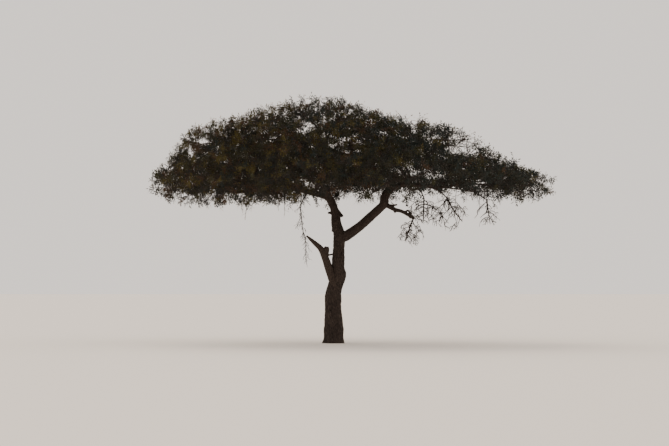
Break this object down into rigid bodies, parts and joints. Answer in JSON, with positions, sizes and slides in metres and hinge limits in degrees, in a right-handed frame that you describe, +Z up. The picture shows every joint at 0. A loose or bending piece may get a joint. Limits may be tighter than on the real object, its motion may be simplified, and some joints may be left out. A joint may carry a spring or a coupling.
{
  "type": "flat-crowned acacia tree",
  "caption": "Lone savanna acacia: leaning forked trunk with a broken dead stub, crooked boughs and a wide flat umbrella crown of fine foliage, bare twigs hanging under it.",
  "frame": {"origin": "middle of the flat cut under the trunk, at ground level", "axes": "+Z up, +X to the right of the pictured side, along the crown's long way, +Y away from the pictured side"},
  "size_m": [15.1633, 12.8215, 9.3295],
  "materials": {
    "bark": "rough fissured bark, dark grey-brown",
    "dead_wood": "weathered dead wood, grey-brown, matte",
    "foliage": "small matte olive-green leaflets",
    "bare_twigs": "dry bare twigs, matte grey-brown"
  },
  "bodies": {
    "root": {"trunk": "bark", "broken_stub": "dead_wood", "leader": "bark", "right_bough": "bark", "right_riser": "bark", "elbow_branch": "bark", "left_bough": "bark", "crown_leader": "bark", "rim_bough_1": "bark", "rim_bough_2": "bark", "rim_bough_3": "bark", "rim_bough_4": "bark", "rim_bough_5": "bark", "rim_bough_6": "bark", "rim_bough_7": "bark", "rim_bough_8": "bark", "rim_bough_9": "bark", "rim_bough_10": "bark", "upper_bough_1": "bark", "upper_bough_2": "bark", "upper_bough_3": "bark", "upper_bough_4": "bark", "upper_bough_5": "bark", "upper_bough_6": "bark", "upper_bough_7": "bark", "summit_bough_1": "bark", "summit_bough_2": "bark", "summit_bough_3": "bark", "drooping_bough_1": "bark", "drooping_bough_2": "bark", "drooping_bough_3": "bark", "hanging_twig": "dead_wood", "rim_foliage_1": "foliage", "rim_foliage_2": "foliage", "rim_foliage_3": "foliage", "rim_foliage_4": "foliage", "rim_foliage_5": "foliage", "rim_foliage_6": "foliage", "rim_foliage_7": "foliage", "rim_foliage_8": "foliage", "rim_foliage_9": "foliage", "rim_foliage_10": "foliage", "upper_foliage_1": "foliage", "upper_foliage_2": "foliage", "upper_foliage_3": "foliage", "upper_foliage_4": "foliage", "upper_foliage_5": "foliage", "upper_foliage_6": "foliage", "upper_foliage_7": "foliage", "summit_foliage_1": "foliage", "summit_foliage_2": "foliage", "summit_foliage_3": "foliage", "elbow_twigs": "bare_twigs", "drooping_twigs_1": "bare_twigs", "drooping_twigs_2": "bare_twigs", "drooping_twigs_3": "bare_twigs"}
  },
  "joints": []
}
